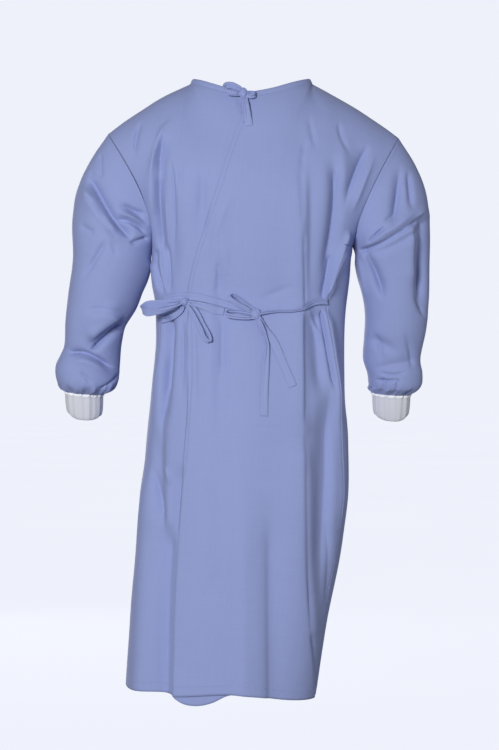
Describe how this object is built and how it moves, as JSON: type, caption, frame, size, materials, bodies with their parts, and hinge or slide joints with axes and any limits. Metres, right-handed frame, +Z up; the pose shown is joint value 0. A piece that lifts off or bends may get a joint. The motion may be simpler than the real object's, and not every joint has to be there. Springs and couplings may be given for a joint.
{
  "type": "surgical gown",
  "caption": "Long-sleeved wrap-back surgical gown of thin cloth, filled out as if worn, with a bound neck, knitted cuffs, and tied bows at the back of the neck and of the waist.",
  "frame": {"origin": "base of the wearer's neck, midway between the two shoulders, at the height where the gown hangs on them", "axes": "+Z up, -Y out of the gown's back where its ties are, +X to the wearer's right"},
  "size_m": [0.7445, 0.3896, 1.2239],
  "materials": {
    "cloth": "matt plain weave",
    "knit": "matt rib knit"
  },
  "bodies": {
    "root": {"front_panel": "cloth", "back_panel_left": "cloth", "back_panel_right": "cloth", "sleeve_left": "cloth", "sleeve_right": "cloth", "neck_binding": "cloth", "neck_bow_knot": "cloth", "neck_bow_tail_under": "cloth", "neck_bow_tail": "cloth", "neck_bow_loop_left": "cloth", "neck_bow_loop_right": "cloth", "middle_bow_knot": "cloth", "waist_tie_left": "cloth", "waist_tie_right": "cloth", "middle_bow_tail_aslant": "cloth", "middle_bow_tail_down": "cloth", "middle_bow_loop_low": "cloth", "middle_bow_loop_high": "cloth", "side_bow_knot": "cloth", "waist_tie_front": "cloth", "side_bow_tail": "cloth", "side_bow_loop_low": "cloth", "side_bow_loop_left": "cloth", "cuff_left": "knit", "cuff_right": "knit"}
  },
  "joints": []
}
